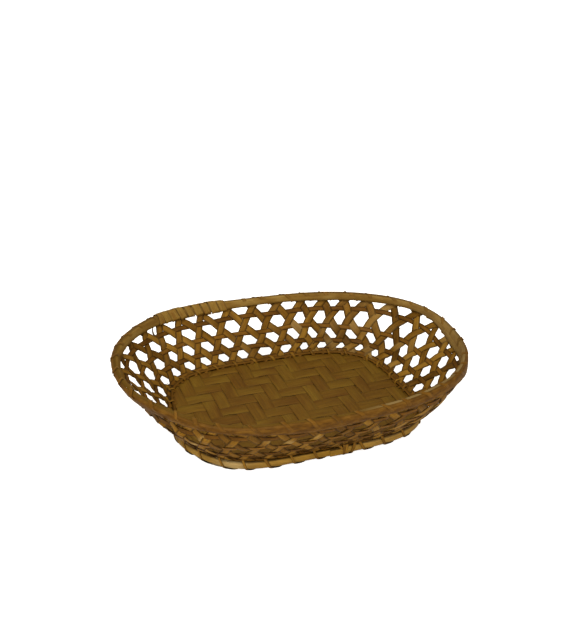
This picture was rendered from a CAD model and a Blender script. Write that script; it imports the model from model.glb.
"""Looks of an oval bread basket of split bamboo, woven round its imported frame.

Lengths are in metres unless a name ends in mm. A place round the basket is a share of the way round,
counted from +X towards +Y, and a row counts the holes of the weave upwards from the lowest weaver.
"""

import logging
import math
from dataclasses import dataclass, field, replace
from enum import Enum
from typing import Sequence

import bmesh
import bpy
import numpy as np
from mathutils import Matrix, Vector


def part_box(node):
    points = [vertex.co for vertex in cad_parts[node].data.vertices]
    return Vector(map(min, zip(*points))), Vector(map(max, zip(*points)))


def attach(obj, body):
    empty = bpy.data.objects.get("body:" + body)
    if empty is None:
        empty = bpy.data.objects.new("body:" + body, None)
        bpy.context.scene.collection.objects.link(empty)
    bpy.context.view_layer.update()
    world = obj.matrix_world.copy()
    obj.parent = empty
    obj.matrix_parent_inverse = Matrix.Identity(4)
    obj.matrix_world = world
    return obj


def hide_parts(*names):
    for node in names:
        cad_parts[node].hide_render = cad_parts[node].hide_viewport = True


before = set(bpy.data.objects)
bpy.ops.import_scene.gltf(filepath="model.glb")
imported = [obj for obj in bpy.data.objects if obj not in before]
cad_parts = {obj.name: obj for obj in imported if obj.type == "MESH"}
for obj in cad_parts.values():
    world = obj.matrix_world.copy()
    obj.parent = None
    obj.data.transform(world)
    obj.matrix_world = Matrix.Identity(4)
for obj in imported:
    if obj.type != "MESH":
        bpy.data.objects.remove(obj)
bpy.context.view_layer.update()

LOG = logging.getLogger("basket")
BODY = "root"
MM = 0.001
UP = (0.0, 0.0, 1.0)
# Times a vector, this keeps its level part
LEVEL = (1.0, 1.0, 0.0)

# Attributes that the bamboo reads: the place along and across the strip with the strip's tone number,
# how near its edge is, and how worn it is
PLACE = "strip_place"
EDGE = "strip_edge"
WEAR = "strip_wear"

# Numbers that set the tones of pieces; strips of one kind count on from theirs
TONES = {"splint": 0.37, "weaver": 500.4, "rim_lash": 610.3, "rim_binding": 611.9, "base_lash": 612.4,
         "tie": 613.4, "floor": 700.3, "rim_outside": 810.2, "rim_inside": 811.6, "foot_ring": 812.5,
         "foot_hoop": 813.8, "floor_edge": 814.1, "foot_lap": 815.8, "trimmed_end": 840.5, "fibre": 900.1}
# Numbers that set the uneven lines and the random draws
SEEDS = {"weaver_lift": 40, "splint_drift": 100, "splint_wear": 400, "floor_bow": 300, "floor_gap": 350,
         "floor_place": 900, "hoop": 7, "rim_loops": 5, "foot_loops": 8, "cane": 61, "marks": 77}

# Places, such as shares of the way round, and the value at each
Table = tuple[tuple[float, float], ...]


# Colours and materials

def linear(code: str) -> tuple[float, float, float, float]:
    """Turn an sRGB hex value to the linear colour that a shader takes.

    Args:
        code: six hex digits.

    Returns:
        Linear red, green, blue and a full alpha.
    """
    parts = [int(code[spot:spot + 2], 16) / 255 for spot in (0, 2, 4)]
    return (*[part / 12.92 if part <= 0.04045 else ((part + 0.055) / 1.055) ** 2.4
              for part in parts], 1.0)


def add_node(tree: bpy.types.NodeTree, kind: str, settings: dict | None = None,
             inputs: dict | None = None) -> bpy.types.Node:
    """Add a node with its settings, values and links.

    Args:
        tree: node tree to add to.
        kind: type of the node.
        settings: properties of the node.
        inputs: by socket name or number, a value, or a socket to link from.

    Returns:
        The new node.
    """
    node = tree.nodes.new(kind)
    for key, value in (settings or {}).items():
        setattr(node, key, value)
    for key, value in (inputs or {}).items():
        socket = node.inputs[key]
        if isinstance(value, bpy.types.NodeSocket):
            tree.links.new(value, socket)
        else:
            socket.default_value = value
    return node


def blank_material(name: str) -> tuple[bpy.types.Material, bpy.types.NodeTree]:
    """Make a material with an empty node tree.

    Args:
        name: name of the material.

    Returns:
        The material and its tree.
    """
    material = bpy.data.materials.new(name)
    material.use_nodes = True
    material.node_tree.nodes.clear()
    return material, material.node_tree


@dataclass(frozen=True)
class SplitBamboo:
    """Split bamboo, dried and browned: long fibres along each strip, a satin skin, dark cut edges.

    Strips differ from one another in tone, so each carries a number of its own in its place attribute,
    and each strip drifts a little in tone along its length. A span is the stretch of a noise over which
    a mark goes from nothing to its full depth.
    """

    name: str
    pale: str
    middle: str
    deep: str
    edge: str
    roughness: float = 0.5
    roughness_spread: tuple[float, float] = (-0.1, 0.14)
    fibre_width_mm: float = 0.45
    fibre_length_mm: float = 26.0
    fibre_span: tuple[float, float] = (0.35, 0.65)
    fibre_depth: float = 0.34
    patch_mm: float = 16.0
    patch_slimness: float = 3.0
    patch_span: tuple[float, float] = (0.3, 0.7)
    speck_mm: float = 1.6
    speck_span: tuple[float, float] = (0.60, 0.74)
    speck_depth: float = 0.45
    edge_start: float = 0.8
    edge_depth: float = 0.5
    strip_contrast: float = 0.55
    patch_contrast: float = 0.56
    noise_roughness: float = 0.6
    bump_mm: float = 0.06
    bump_strength: float = 0.6
    sheen: float = 0.16
    worn: str = "B09C70"

    def material(self) -> bpy.types.Material:
        """Build the node material, once for all the pieces that have it.

        Returns:
            The finished material.
        """
        if self.name in bpy.data.materials:
            return bpy.data.materials[self.name]
        material, tree = blank_material(self.name)
        place = add_node(tree, "ShaderNodeAttribute", {"attribute_name": PLACE})
        rim = add_node(tree, "ShaderNodeAttribute", {"attribute_name": EDGE})
        wear = add_node(tree, "ShaderNodeAttribute", {"attribute_name": WEAR})
        split = add_node(tree, "ShaderNodeSeparateXYZ", {}, {0: place.outputs["Vector"]})

        def drawn_out(along_mm: float, across_mm: float, detail: float) -> bpy.types.NodeSocket:
            """Marks drawn out along the strip.

            Args:
                along_mm: length of a mark.
                across_mm: width of a mark.
                detail: octaves of finer marks.

            Returns:
                The noise's value.
            """
            mapping = add_node(tree, "ShaderNodeMapping", {"vector_type": "POINT"},
                               {"Vector": place.outputs["Vector"],
                                "Scale": (1 / (along_mm * MM), 1 / (across_mm * MM), 1.0)})
            noise = add_node(tree, "ShaderNodeTexNoise", {"noise_dimensions": "3D"},
                             {"Vector": mapping.outputs["Vector"], "Scale": 1.0, "Detail": detail,
                              "Roughness": self.noise_roughness})
            return noise.outputs["Fac"]

        fibres = drawn_out(self.fibre_length_mm, self.fibre_width_mm, 3.0)
        patches = drawn_out(self.patch_mm, self.patch_mm / self.patch_slimness, 2.0)
        specks = drawn_out(self.speck_mm * 2, self.speck_mm / 2, 4.0)

        # Each strip has a tone of its own, and patches shift it
        tone = add_node(tree, "ShaderNodeTexWhiteNoise", {"noise_dimensions": "1D"},
                        {"W": split.outputs["Z"]})
        strip_tone = add_node(tree, "ShaderNodeMapRange", {},
                              {"Value": tone.outputs["Value"], "To Min": 0.5 - self.strip_contrast / 2,
                               "To Max": 0.5 + self.strip_contrast / 2})
        spread = add_node(tree, "ShaderNodeMapRange", {},
                          {"Value": patches, "From Min": self.patch_span[0],
                           "From Max": self.patch_span[1], "To Min": -self.patch_contrast / 2,
                           "To Max": self.patch_contrast / 2})
        level = add_node(tree, "ShaderNodeMath", {"operation": "ADD", "use_clamp": True},
                         {0: strip_tone.outputs["Result"], 1: spread.outputs["Result"]})
        ramp = add_node(tree, "ShaderNodeValToRGB", {}, {"Fac": level.outputs["Value"]})
        ramp.color_ramp.elements[0].color = linear(self.deep)
        ramp.color_ramp.elements[1].color = linear(self.pale)
        ramp.color_ramp.elements.new(0.5).color = linear(self.middle)

        # Dark fibres, dark specks and dark cut edges, one over the other
        colour = ramp.outputs["Color"]
        for mark, span, depths, ease in (
                (fibres, self.fibre_span, (self.fibre_depth, 0.0), "LINEAR"),
                (specks, self.speck_span, (0.0, self.speck_depth), "LINEAR"),
                (rim.outputs["Fac"], (self.edge_start, 1.0), (0.0, self.edge_depth), "SMOOTHSTEP")):
            share = add_node(tree, "ShaderNodeMapRange", {"interpolation_type": ease},
                             {"Value": mark, "From Min": span[0], "From Max": span[1],
                              "To Min": depths[0], "To Max": depths[1]})
            darkened = add_node(tree, "ShaderNodeMix", {"data_type": "RGBA"},
                                {"Factor": share.outputs["Result"], "A": colour, "B": linear(self.edge)})
            colour = darkened.outputs["Result"]

        # Wear takes the skin's colour off along the fibres
        worn = add_node(tree, "ShaderNodeMath", {"operation": "MULTIPLY", "use_clamp": True},
                        {0: wear.outputs["Fac"], 1: fibres})
        coloured = add_node(tree, "ShaderNodeMix", {"data_type": "RGBA"},
                            {"Factor": worn.outputs["Value"], "A": colour, "B": linear(self.worn)})
        rough = add_node(tree, "ShaderNodeMapRange", {},
                         {"Value": fibres, "To Min": self.roughness + self.roughness_spread[0],
                          "To Max": self.roughness + self.roughness_spread[1]})
        bump = add_node(tree, "ShaderNodeBump", {},
                        {"Strength": self.bump_strength, "Distance": self.bump_mm * MM, "Height": fibres})
        shader = add_node(tree, "ShaderNodeBsdfPrincipled", {},
                          {"Base Color": coloured.outputs["Result"], "Roughness": rough.outputs["Result"],
                           "Normal": bump.outputs["Normal"], "Specular IOR Level": self.sheen})
        add_node(tree, "ShaderNodeOutputMaterial", {}, {"Surface": shader.outputs["BSDF"]})
        return material


class Slot(Enum):
    """The record's material slots."""

    SPLINT = "bamboo_splint"
    WEAVER = "bamboo_weaver"
    HOOP = "bamboo_hoop"
    FLOOR = "bamboo_floor"
    CANE = "cane"


# Split bamboo inside the browned stem: warm brown, a dull skin and dark cut edges
WALL_BAMBOO = SplitBamboo("split_bamboo_wall", "9A742A", "7C5818", "553808", "2A1A05", edge_start=0.42,
                          edge_depth=0.85, strip_contrast=0.8, sheen=0.07, worn="A48A56")
# The level strips, split nearer the stem's outside, which browns more: darker and redder
WEAVER_BAMBOO = SplitBamboo("split_bamboo_weaver", "8A6220", "6E4A13", "4B3007", "241404", edge_start=0.42,
                            edge_depth=0.85, strip_contrast=0.6, sheen=0.07)
# The same bamboo, kept out of the light on the floor, greener and duller, and darkened by use in front
FLOOR_BAMBOO = SplitBamboo("split_bamboo_floor", "785E1A", "6D4F12", "5E3C0C", "241404", roughness=0.6,
                           fibre_width_mm=0.7, patch_mm=45.0, edge_start=0.93, edge_depth=0.7,
                           strip_contrast=0.26, patch_contrast=0.7, worn="2C1A06")
# Outer skin of the stem on the rim's outside: orange-brown with olive patches, smoother
RIM_SKIN_BAMBOO = SplitBamboo("bamboo_skin_rim", "6C4C14", "563708", "3E2605", "6A4E20", roughness=0.5,
                              fibre_length_mm=60.0, patch_mm=8.0, strip_contrast=0.3, patch_contrast=1.0,
                              edge_start=0.86, edge_depth=0.3, sheen=0.08)
# Inner side of the rim's hoop: paler, between brown and dry green
RIM_PITH_BAMBOO = SplitBamboo("bamboo_pith_rim", "90763E", "7E6026", "644614", "523C10", roughness=0.65,
                              fibre_length_mm=60.0, patch_mm=22.0, strip_contrast=0.3, patch_contrast=0.9,
                              edge_start=0.7, edge_depth=0.85, sheen=0.06)
# Golden skin of the foot ring, the cleanest strip of the basket
FOOT_SKIN_BAMBOO = SplitBamboo("bamboo_skin_foot", "B48E34", "9A7626", "785A18", "201203", roughness=0.42,
                               fibre_length_mm=60.0, patch_mm=25.0, strip_contrast=0.2, edge_start=0.66,
                               edge_depth=0.85)
# Thin split cane of the lashing, near the hoops in tone, paler on its way up the inside
LASH_CANE = SplitBamboo("split_cane", "7C581C", "6C4A12", "583C0C", "241404", roughness=0.5,
                        fibre_width_mm=0.3, patch_mm=8.0, strip_contrast=0.6, edge_start=0.7,
                        edge_depth=0.4, sheen=0.1, worn="B09450")
# Wider bands that bind the rim's lap: some tan and greenish, some orange
BIND_CANE = SplitBamboo("split_cane_wide", "8E7232", "7C5214", "5C3208", "241404", roughness=0.5,
                        fibre_width_mm=0.4, patch_mm=10.0, strip_contrast=1.0, edge_start=0.8,
                        edge_depth=0.6)
# Cane round the foot, golden as the ring it holds, and nearly black where it rubs on the table
FOOT_CANE = SplitBamboo("split_cane_foot", "967020", "7E5A14", "5E400A", "1A0E02", roughness=0.5,
                        fibre_width_mm=0.3, patch_mm=8.0, strip_contrast=0.5, edge_start=0.7,
                        edge_depth=0.6, worn="140A02")
# Dry fibres and strip ends that stand off the weave, nearly black-brown
FIBRE_BAMBOO = SplitBamboo("dry_fibre", "5A3E14", "46300E", "332209", "1C1004", roughness=0.7,
                           fibre_width_mm=0.2, patch_mm=6.0)


# Strips and uneven lines

@dataclass(frozen=True)
class StripProfile:
    """Cross-section of a strip: a flat band with rounded edges and a slightly crowned face."""

    width: float
    thickness: float
    rounding_share: float = 0.4
    crown_share: float = 0.12
    back_share: float = 0.4

    def outline(self) -> tuple[np.ndarray, np.ndarray]:
        """Corners of the section, once round.

        Returns:
            Places across the strip, and places through its thickness.
        """
        half = self.width / 2
        thick = self.thickness / 2
        cut = self.thickness * self.rounding_share
        back = self.thickness * self.back_share
        crown = self.thickness * self.crown_share
        across = (-half, back - half, -half / 3, half / 3, half - back, half,
                  half, half - cut, half / 3, -half / 3, cut - half, -half)
        through = (back - thick, -thick, -thick, -thick, -thick, back - thick,
                   thick - cut, thick, thick + crown, thick + crown, thick, thick - cut)
        return np.array(across), np.array(through)


# A new grid reaches this far each way from its middle
GRID_REACH = 0.5
# Corners nearer than this share of the strip's thickness are one
MERGE_SHARE = 0.001


def skin_strip(centres: np.ndarray, sides: np.ndarray, outs: np.ndarray, profile: StripProfile,
               tone: float | np.ndarray, closed: bool = False,
               width_shares: np.ndarray | None = None,
               wear: np.ndarray | None = None) -> bmesh.types.BMesh:
    """Wrap a grid round a strip's path, as a closed band that never dips under the table.

    Args:
        centres: points of the path, one a row.
        sides: unit vectors across the strip.
        outs: unit vectors out of its face.
        profile: its cross-section.
        tone: number that sets its own tone in the material, one or one for each point.
        closed: whether the strip's ends meet.
        width_shares: the share of its full width that it has at each point.
        wear: how worn it is at each point, from zero up.

    Returns:
        The strip's shape.
    """
    across, through = profile.outline()
    around = len(across)
    steps = len(centres) if closed else len(centres) - 1
    shares = np.ones(len(centres)) if width_shares is None else width_shares
    wears = np.zeros(len(centres)) if wear is None else wear
    tones = np.broadcast_to(np.asarray(tone, float), (len(centres),))
    work = bmesh.new()
    bmesh.ops.create_grid(work, x_segments=steps, y_segments=around, size=GRID_REACH)
    spots = np.array([vert.co[:2] for vert in work.verts]) + GRID_REACH
    along = np.rint(spots[:, 0] * steps).astype(int) % len(centres)
    corner = np.rint(spots[:, 1] * around).astype(int) % around
    run = np.concatenate(([0.0], np.cumsum(np.linalg.norm(np.diff(centres, axis=0), axis=1))))
    wide = across[corner] * shares[along]
    points = centres[along] + sides[along] * wide[:, None] + outs[along] * through[corner][:, None]
    points[:, 2] = np.maximum(points[:, 2], 0.0)
    place = work.verts.layers.float_vector.new(PLACE)
    edge = work.verts.layers.float.new(EDGE)
    worn = work.verts.layers.float.new(WEAR)
    half = profile.width / 2
    for vert, point, step, sideways in zip(work.verts, points, along, wide):
        vert.co = point
        vert[place] = (run[step], sideways, tones[step])
        vert[edge] = abs(sideways) / half / shares[step]
        vert[worn] = wears[step]
    bmesh.ops.remove_doubles(work, verts=work.verts, dist=profile.thickness * MERGE_SHARE)
    if not closed:
        bmesh.ops.holes_fill(work, edges=work.edges, sides=around)
    bmesh.ops.recalc_face_normals(work, faces=work.faces)
    return work


def lay_strip(centres: np.ndarray, outs: np.ndarray, profile: StripProfile, tone: float | np.ndarray,
              closed: bool = False, width_shares: np.ndarray | None = None,
              wear: np.ndarray | None = None) -> bmesh.types.BMesh:
    """Lay a strip along its path, with its face square to the path.

    Args:
        centres: points of the path, one a row.
        outs: vectors that its face looks along, roughly.
        profile: its cross-section.
        tone: number that sets its own tone in the material, one or one for each point.
        closed: whether the strip's ends meet.
        width_shares: the share of its full width that it has at each point.
        wear: how worn it is at each point, from zero up.

    Returns:
        The strip's shape.
    """
    path = tangents(centres, closed)
    sides = unit(np.cross(outs, path))
    return skin_strip(centres, sides, unit(np.cross(path, sides)), profile, tone, closed, width_shares,
                      wear)


def joined(works: Sequence[bmesh.types.BMesh]) -> bmesh.types.BMesh:
    """Put several shapes into one.

    Args:
        works: the shapes, which are freed.

    Returns:
        One shape with all of them.
    """
    whole = bmesh.new()
    for work in works:
        mesh = bpy.data.meshes.new("part_of_many")
        work.to_mesh(mesh)
        work.free()
        whole.from_mesh(mesh)
        bpy.data.meshes.remove(mesh)
    return whole


def unit(vectors: np.ndarray) -> np.ndarray:
    """Vectors at a length of one, row by row."""
    return vectors / np.linalg.norm(vectors, axis=1, keepdims=True)


def tangents(points: np.ndarray, closed: bool = False) -> np.ndarray:
    """Directions of a path.

    Args:
        points: points of the path, one a row.
        closed: whether the last point is followed by the first.

    Returns:
        Unit vectors along the path.
    """
    if closed:
        return unit(np.roll(points, -1, axis=0) - np.roll(points, 1, axis=0))
    return unit(np.gradient(points, axis=0))


def wander(places: np.ndarray, seed: int, waves: Sequence[int], height: float = 1.6) -> np.ndarray:
    """Smooth uneven line, between about one and minus one, as a hand leaves it.

    Args:
        places: shares of the way along, where a whole turn repeats.
        seed: number that sets the line.
        waves: how many waves the parts of the line have on a whole turn.
        height: height of the line's parts, all together.

    Returns:
        Heights of the line at the places.
    """
    draw = np.random.default_rng(seed)
    total = np.zeros_like(places, dtype=float)
    for count in waves:
        total += np.sin(2 * math.pi * (count * places + draw.random())) / len(waves) * height
    return total


def squarish(wave: np.ndarray, sharpness: float = 2.4) -> np.ndarray:
    """Flatten the tops of a wave, as a strip lies flat over a strip and bends between them."""
    return np.tanh(sharpness * wave) / math.tanh(sharpness)


def read_table(table: Table, turns: float | np.ndarray) -> np.ndarray:
    """Values of a table at places round the basket."""
    return np.interp(np.asarray(turns, float) % 1.0, *zip(*table))


# The basket's shape, read from the frame

@dataclass(frozen=True)
class Oval:
    """Outline of the wall's middle surface at one height."""

    height: float
    half_length: float
    half_width: float
    squareness: float


@dataclass
class BasketForm:
    """The wall's middle surface and the weave's layout, taken from the frame's sizes.

    The even ovals come from the frame's hoops, and the tables hold what the hand that bent the basket
    left: how far the belly, the rim, the neck under the rim and the foot stand out, how far the weave
    has crept round low and high on the wall, in columns, and how far its rows sag and rise. Fields that
    end in spread are the heights over which a bend fades out.
    """

    rim_squareness: float = 2.48
    foot_squareness: float = 3.52
    rim_end_tilt: float = math.radians(22)
    rim_side_tilt: float = math.radians(17)
    rim_grip: float = 0.0026
    foot_grip: float = 0.00175
    first_weaver: float = 0.0086
    belly_height: float = 0.023
    belly_spread: float = 0.021
    belly_mm: Table = (
        (0.0, 1.5), (0.06, 0.0), (0.25, -0.8), (0.45, 0.0), (0.55, 2.0), (0.65, 4.0), (0.8, 5.0),
        (0.86, 6.5), (0.92, 4.5), (1.0, 1.5))
    rim_warp_mm: Table = (
        (0.0, 3.2), (0.03, 5.0), (0.06, 3.9), (0.09, 1.2), (0.12, -0.9), (0.15, -0.6), (0.2, -0.2),
        (0.26, 1.2), (0.35, 7.2), (0.41, 1.8), (0.45, 0.8), (0.5, 2.0), (0.53, 0.0), (0.555, -3.6),
        (0.58, -4.6), (0.6, -2.2), (0.625, -0.4), (0.66, 1.5), (0.7, 1.2), (0.75, 1.4), (0.78, 0.2),
        (0.82, -0.2), (0.88, -2.4), (0.93, -2.2), (0.97, 0.4), (1.0, 3.2))
    neck_warp_mm: Table = (
        (0.0, 0.0), (0.47, 0.0), (0.51, -2.2), (0.56, -4.6), (0.61, -3.6), (0.68, -1.0), (0.76, 0.0),
        (0.84, 0.0), (0.9, 1.6), (0.95, 0.6), (1.0, 0.0))
    foot_warp_mm: Table = (
        (0.0, 0.4), (0.1, 0.0), (0.47, 0.0), (0.5, 2.5), (0.53, 4.8), (0.55, 3.6), (0.575, 0.0),
        (0.6, -0.2), (0.63, 2.8), (0.67, 3.2), (0.71, 1.4), (0.75, 1.2), (0.94, 1.0), (1.0, 0.4))
    foot_spread: float = 0.016
    neck_spread: float = 0.010
    warp_steps: int = 360
    warp_softness: int = 25
    rim_warp_power: float = 1.5
    creep_start: float = 0.9
    creep_rows: float = 1.7
    phase_low: Table = (
        (0.0, -0.15), (0.05, -0.12), (0.1, -0.12), (0.2, -0.14), (0.235, -0.08), (0.26, 0.25),
        (0.3, 0.32), (0.34, 0.26), (0.38, 0.1), (0.42, 0.12), (0.46, 0.28), (0.55, 0.1), (1.0, -0.15))
    phase_high: Table = (
        (0.0, -0.05), (0.04, 0.15), (0.07, 0.3), (0.11, 0.4), (0.15, 0.3), (0.2, 0.2), (0.3, 0.35),
        (0.34, 0.24), (0.38, 0.0), (0.42, 0.0), (0.48, 0.05), (0.55, 0.0), (0.8, 0.0), (0.85, 0.4),
        (0.9, 0.3), (1.0, -0.05))
    sag_mm: Table = (
        (0.0, 0.4), (0.04, 0.8), (0.08, 2.4), (0.13, 3.0), (0.17, 1.2), (0.2, 0.0), (0.9, 0.0),
        (1.0, 0.4))
    lift_mm: Table = (
        (0.0, 0.0), (0.05, 0.8), (0.08, 1.4), (0.13, 1.2), (0.18, 0.3), (0.25, 0.0), (1.0, 0.0))
    sag_reach: float = 0.92
    lift_start: float = 2.0
    lift_stop: float = 4.0
    foot_rise: float = 0.0011
    foot_ring_height: float = 0.0061
    floor_lift: float = 0.0012
    columns: int = 36
    rows: float = 3.5
    level_count: int = 90
    turn_count: int = 720
    rim_top: float = field(init=False)
    neck: float = field(init=False)
    foot_top: float = field(init=False)
    floor_top: float = field(init=False)
    ovals: list[Oval] = field(init=False)
    heights: np.ndarray = field(init=False)
    turns: np.ndarray = field(init=False)
    table: np.ndarray = field(init=False)
    rounds: np.ndarray = field(init=False)

    def __post_init__(self) -> None:
        """Read the frame's sizes and lay out the surface's table of points."""
        rim_low, rim_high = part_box("rim_outer_hoop")
        hoop_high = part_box("base_hoop")[1]
        self.rim_top = rim_high.z
        self.neck = rim_low.z
        self.foot_top = self.foot_rise + self.foot_ring_height
        self.floor_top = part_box("floor_cross_strip_09")[1].z + self.floor_lift
        hoop_height = self.rim_top - self.neck
        rise_x = hoop_height * math.tan(self.rim_end_tilt)
        rise_y = hoop_height * math.tan(self.rim_side_tilt)
        top = Oval(self.rim_top, rim_high.x - self.rim_grip, rim_high.y - self.rim_grip,
                   self.rim_squareness)
        foot = Oval(self.foot_top, hoop_high.x + self.foot_grip, hoop_high.y + self.foot_grip,
                    self.foot_squareness)
        share = (self.neck - self.foot_top) / (self.rim_top - self.foot_top)
        blend = self.foot_squareness + (self.rim_squareness - self.foot_squareness) * share
        neck = Oval(self.neck, top.half_length - rise_x, top.half_width - rise_y, blend)
        below = Oval(foot.height - hoop_height, foot.half_length, foot.half_width, foot.squareness)
        above = Oval(top.height + hoop_height, top.half_length + rise_x, top.half_width + rise_y,
                     top.squareness)
        self.ovals = [below, foot, neck, top, above]
        self.lay_out()

    def oval_at(self, height: float) -> tuple[float, float, float]:
        """Half length, half width and squareness at a height.

        Args:
            height: height over the table.

        Returns:
            The three numbers.
        """
        heights = [oval.height for oval in self.ovals]
        return tuple(float(np.interp(height, heights, [getattr(oval, key) for oval in self.ovals]))
                     for key in ("half_length", "half_width", "squareness"))

    def lay_out(self) -> None:
        """Fill the table of points, by height and by share of the way round."""
        self.heights = np.linspace(self.ovals[0].height, self.ovals[-1].height, self.level_count)
        self.turns = np.linspace(0, 1, self.turn_count + 1)
        self.table = np.zeros((self.level_count, self.turn_count + 1, 2))
        self.rounds = np.zeros(self.level_count)
        fine = np.linspace(0, 2 * math.pi, 4 * self.turn_count + 1)
        for level, height in enumerate(self.heights):
            half_length, half_width, power = self.oval_at(height)
            radius = (np.abs(np.cos(fine) / half_length) ** power
                      + np.abs(np.sin(fine) / half_width) ** power) ** (-1 / power)
            line = np.stack([radius * np.cos(fine), radius * np.sin(fine)], axis=1)
            run = np.concatenate(([0.0], np.cumsum(np.linalg.norm(np.diff(line, axis=0), axis=1))))
            for axis in (0, 1):
                self.table[level, :, axis] = np.interp(self.turns * run[-1], run, line[:, axis])
            self.rounds[level] = run[-1]
            shift = self.hand_shift(self.turns, height)
            self.table[level] *= 1 + (shift / np.linalg.norm(self.table[level], axis=1))[:, None]

    def hand_shift(self, turns: np.ndarray, height: float) -> np.ndarray:
        """How far the hand-bent wall stands out of its even ovals.

        Args:
            turns: shares of the way round.
            height: height over the table.

        Returns:
            Distances outwards from the basket's middle.
        """
        fine = np.linspace(0, 1, self.warp_steps + 1)
        soft = np.hanning(self.warp_softness) / np.sum(np.hanning(self.warp_softness))
        lift = np.clip((height - self.foot_top) / (self.rim_top - self.foot_top), 0, 1)
        bulge = max(0.0, 1 - ((height - self.belly_height) / self.belly_spread) ** 2)
        pinch = max(0.0, 1 - ((height - self.neck) / self.neck_spread) ** 2)
        splay = float(np.clip(1 - (height - self.foot_top) / self.foot_spread, 0, 1))
        total = (read_table(self.belly_mm, fine) * bulge
                 + read_table(self.rim_warp_mm, fine) * lift ** self.rim_warp_power
                 + read_table(self.neck_warp_mm, fine) * pinch
                 + read_table(self.foot_warp_mm, fine) * splay)
        ring = np.tile(total[:-1], 3)
        smooth = np.convolve(ring, soft, mode="same")[self.warp_steps:2 * self.warp_steps + 1]
        return np.interp(turns, fine, smooth) * MM

    def middle(self, turns: np.ndarray, heights: np.ndarray) -> np.ndarray:
        """Points of the wall's middle surface.

        Args:
            turns: shares of the way round.
            heights: heights over the table.

        Returns:
            The points, one a row.
        """
        turns, heights = np.broadcast_arrays(np.asarray(turns, float), np.asarray(heights, float))
        column = (turns % 1.0) * self.turn_count
        left = np.floor(column).astype(int) % self.turn_count
        sideways = (column - np.floor(column))[:, None]
        level = (heights - self.heights[0]) / (self.heights[1] - self.heights[0])
        low = np.clip(np.floor(level).astype(int), 0, self.level_count - 2)
        upwards = (level - low)[:, None]
        below = self.table[low, left] * (1 - sideways) + self.table[low, left + 1] * sideways
        above = self.table[low + 1, left] * (1 - sideways) + self.table[low + 1, left + 1] * sideways
        flat = below * (1 - upwards) + above * upwards
        return np.column_stack([flat, heights])

    def outward(self, turns: np.ndarray, heights: np.ndarray) -> np.ndarray:
        """Unit vectors square to the wall, away from the basket's inside.

        Args:
            turns: shares of the way round.
            heights: heights over the table.

        Returns:
            The vectors, one a row.
        """
        turns, heights = np.broadcast_arrays(np.asarray(turns, float), np.asarray(heights, float))
        reach = 1 / self.turn_count
        lift = self.heights[1] - self.heights[0]
        along = self.middle(turns + reach, heights) - self.middle(turns - reach, heights)
        up = self.middle(turns, heights + lift) - self.middle(turns, heights - lift)
        return unit(np.cross(along, up))

    def level_outward(self, turns: np.ndarray, heights: np.ndarray) -> np.ndarray:
        """Unit vectors away from the basket's inside, level with the table.

        Args:
            turns: shares of the way round.
            heights: heights over the table.

        Returns:
            The vectors, one a row.
        """
        return unit(self.outward(turns, heights) * LEVEL)

    def upward(self, turns: np.ndarray, heights: np.ndarray) -> np.ndarray:
        """Unit vectors up along the wall.

        Args:
            turns: shares of the way round.
            heights: heights over the table.

        Returns:
            The vectors, one a row.
        """
        turns, heights = np.broadcast_arrays(np.asarray(turns, float), np.asarray(heights, float))
        reach = 1 / self.turn_count
        along = self.middle(turns + reach, heights) - self.middle(turns - reach, heights)
        return unit(np.cross(self.outward(turns, heights), along))

    def on_wall(self, turns: np.ndarray, heights: np.ndarray, offsets: np.ndarray) -> np.ndarray:
        """Points beside the wall's middle surface.

        Args:
            turns: shares of the way round.
            heights: heights over the table.
            offsets: distances out of the middle surface.

        Returns:
            The points, one a row.
        """
        turns, heights, offsets = np.broadcast_arrays(np.asarray(turns, float), np.asarray(heights, float),
                                                      np.asarray(offsets, float))
        return self.middle(turns, heights) + self.outward(turns, heights) * offsets[:, None]

    def round_at(self, height: float) -> float:
        """Distance round the wall at a height."""
        return float(np.interp(height, self.heights, self.rounds))

    def row_height(self, rows: np.ndarray) -> np.ndarray:
        """Heights of the weave's rows, which grow upwards with the way round.

        Args:
            rows: rows, counted from the lowest weaver.

        Returns:
            Heights over the table.
        """
        growth = self.round_at(self.neck) / self.round_at(self.first_weaver)
        rows = np.asarray(rows, float)
        share = (growth ** (rows / self.rows) - 1) / (growth - 1)
        return self.first_weaver + (self.neck - self.first_weaver) * share

    def phase(self, turns: np.ndarray, rows: np.ndarray) -> np.ndarray:
        """How far the weave has crept round from even spacing.

        Args:
            turns: shares of the way round.
            rows: rows, counted from the lowest weaver.

        Returns:
            Shifts, in columns.
        """
        share = np.clip((np.asarray(rows, float) - self.creep_start) / self.creep_rows, 0, 1)
        share = share ** 2 * (3 - 2 * share)
        low = read_table(self.phase_low, turns)
        return low + (read_table(self.phase_high, turns) - low) * share

    def woven_height(self, turns: np.ndarray, rows: np.ndarray) -> np.ndarray:
        """Heights of the weave, with the rows' sag and rise.

        Args:
            turns: shares of the way round.
            rows: rows, counted from the lowest weaver.

        Returns:
            Heights over the table.
        """
        rows = np.asarray(rows, float)
        share = np.clip(rows / (self.rows * self.sag_reach), 0, 1)
        high = np.clip(rows - self.lift_start, 0, 1) * np.clip(self.lift_stop - rows, 0, 1)
        sag = read_table(self.sag_mm, turns) * MM * np.sin(math.pi * share)
        rise = read_table(self.lift_mm, turns) * MM * high
        return self.row_height(rows) - sag + rise

    def row_at(self, height: float) -> float:
        """Row of the weave at a height, the other way round from row_height.

        Args:
            height: height over the table.

        Returns:
            The row, counted from the lowest weaver.
        """
        growth = self.round_at(self.neck) / self.round_at(self.first_weaver)
        share = (height - self.first_weaver) / (self.neck - self.first_weaver)
        return self.rows * math.log(1 + share * (growth - 1)) / math.log(growth)


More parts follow.
